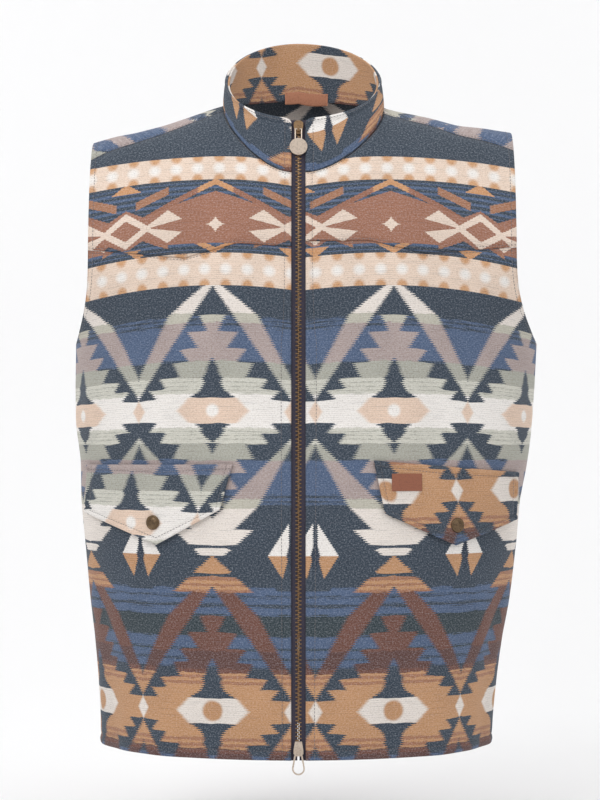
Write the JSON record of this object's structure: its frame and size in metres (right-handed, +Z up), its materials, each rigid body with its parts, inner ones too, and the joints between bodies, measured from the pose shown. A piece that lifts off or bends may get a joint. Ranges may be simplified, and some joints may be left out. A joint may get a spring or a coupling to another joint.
{
  "type": "western vest",
  "caption": "Sleeveless zip-front western vest of blanket-pattern fleece, filled out as worn, with stand collar, pointed yokes and pointed pocket flaps",
  "frame": {"origin": "on the centre line, level with the points where the shoulders meet the neck, where the wearer's shoulders carry the vest", "axes": "+Z up, the front faces -Y, the wearer's left is +X"},
  "size_m": [0.4974, 0.2929, 0.7755],
  "materials": {
    "blanket_fleece": "brushed woven fleece in blue, cream, tan and rust bands",
    "zip_tape": "dark woven zip tape",
    "antique_brass": "dark antique brass",
    "pale_nickel": "worn pale nickel",
    "brown_leather": "plain brown patch, fine ribs",
    "tan_tape": "tan-brown twill strip"
  },
  "bodies": {
    "vest": {"front_right": "blanket_fleece", "front_left": "blanket_fleece", "yoke_right": "blanket_fleece", "yoke_left": "blanket_fleece", "back": "blanket_fleece", "collar_outer": "blanket_fleece", "collar_inner": "blanket_fleece", "flap_right": "blanket_fleece", "flap_left": "blanket_fleece", "zip_tape_right": "zip_tape", "zip_tape_left": "zip_tape", "zip_chain": "antique_brass", "slider_top": "antique_brass", "slider_bottom": "pale_nickel", "snap_right": "antique_brass", "snap_left": "antique_brass", "label_patch": "brown_leather", "hanger_loop": "tan_tape"},
    "pull_top": {"pull_top": "pale_nickel"},
    "pull_bottom": {"pull_bottom": "pale_nickel"}
  },
  "joints": [
    {"name": "pull_top_swing", "type": "hinge", "parent": "vest", "child": "pull_top", "pos_m": [0, -0.08954, -0.03041], "axis": [-1, 0, 0], "range_deg": [0, 150]},
    {"name": "pull_bottom_swing", "type": "hinge", "parent": "vest", "child": "pull_bottom", "pos_m": [0, -0.14582, -0.67144], "axis": [-1, 0, 0], "range_deg": [0, 150]}
  ]
}
